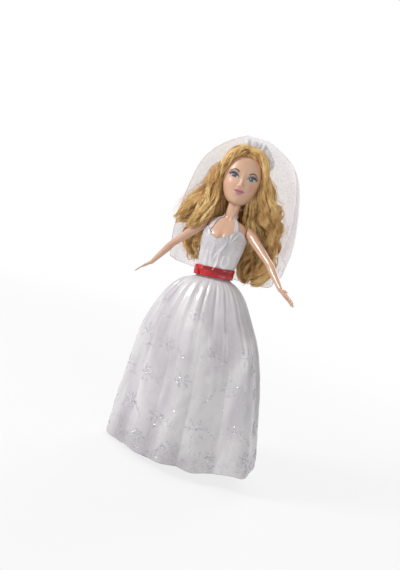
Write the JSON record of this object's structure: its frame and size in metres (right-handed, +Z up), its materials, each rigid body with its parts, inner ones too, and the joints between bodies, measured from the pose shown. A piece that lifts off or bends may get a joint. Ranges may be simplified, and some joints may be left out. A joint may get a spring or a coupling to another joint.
{
  "type": "fashion doll",
  "caption": "Fashion doll in a white satin gown with a red waist ribbon and a veil; the head turns, the arms swing and the legs fold at the hips.",
  "frame": {"origin": "on the surface that the doll stands on, under the middle of its overall length and depth", "axes": "+Z up along the body; the doll's chest faces -Y and its left hand is on the +X side"},
  "size_m": [0.1752, 0.0914, 0.3165],
  "materials": {
    "skin": "smooth light tan vinyl with a soft gloss",
    "body": "hard glossy light tan plastic",
    "inner": "plain off-white plastic",
    "hair": "golden blonde synthetic fibre with a silky sheen",
    "satin": "white satin, with silver glitter sprays on the skirt",
    "ribbon": "red satin ribbon",
    "tulle": "sheer pinkish-white tulle",
    "shoe": "white plastic",
    "tape": "white hook-and-loop tape",
    "pearl": "small pearly bead"
  },
  "bodies": {
    "torso": {"torso_front": "body", "torso_back": "body", "neck_knob": "inner", "bodice_front": "satin", "bodice_back_left": "satin", "bodice_back_right": "satin", "back_closure": "tape", "strap_left": "tulle", "strap_right": "tulle", "waist_ribbon": "ribbon", "ribbon_fold": "ribbon", "skirt": "satin"},
    "head": {"head": "skin", "hair_cap": "hair", "hair_back": "hair", "hair_shoulder_right": "hair", "hair_back_right": "hair", "hair_curtain_left": "hair", "hair_inner_left": "hair", "hair_curl_left": "hair", "hair_sweep_right": "hair", "hair_sweep_left": "hair", "veil": "tulle", "veil_headpiece": "tulle", "headpiece_bead": "pearl"},
    "arm_left": {"arm_left": "body"},
    "arm_right": {"arm_right": "body"},
    "hip_axle": {"hip_axle": "inner"},
    "leg_left": {"leg_left": "body", "shoe_left": "shoe"},
    "leg_right": {"leg_right": "body", "shoe_right": "shoe"}
  },
  "joints": [
    {"name": "head_turn", "type": "hinge", "parent": "torso", "child": "head", "pos_m": [-0.00362, -0.00077, 0.2525], "axis": [0, 0, 1], "range_deg": [-95, 55], "deforming": ["hair_back", "hair_back_right", "hair_shoulder_right", "hair_curtain_left", "hair_inner_left", "hair_curl_left", "veil"]},
    {"name": "shoulder_left", "type": "hinge", "parent": "torso", "child": "arm_left", "pos_m": [-0.00362, 0.00073, 0.23], "axis": [-1, 0, 0], "range_deg": [-88, 132], "deforming": ["hair_back", "hair_back_right", "hair_shoulder_right", "hair_curtain_left", "hair_inner_left", "hair_curl_left", "veil"]},
    {"name": "shoulder_right", "type": "hinge", "parent": "torso", "child": "arm_right", "pos_m": [-0.00362, 0.00073, 0.23], "axis": [-1, 0, 0], "range_deg": [-35, 185], "deforming": ["hair_back", "hair_back_right", "hair_shoulder_right", "hair_curtain_left", "hair_inner_left", "hair_curl_left", "veil"]},
    {"name": "hips_sit", "type": "hinge", "parent": "torso", "child": "hip_axle", "pos_m": [-0.00362, -0.00027, 0.152], "axis": [-1, 0, 0], "range_deg": [0, 85], "deforming": ["skirt"]},
    {"name": "leg_swing_left", "type": "hinge", "parent": "hip_axle", "child": "leg_left", "pos_m": [-0.00362, -0.00027, 0.152], "axis": [-1, 0, 0], "range_deg": [-14, 14], "deforming": ["skirt"]},
    {"name": "leg_swing_right", "type": "hinge", "parent": "hip_axle", "child": "leg_right", "pos_m": [-0.00362, -0.00027, 0.152], "axis": [-1, 0, 0], "range_deg": [-14, 14], "deforming": ["skirt"]}
  ]
}
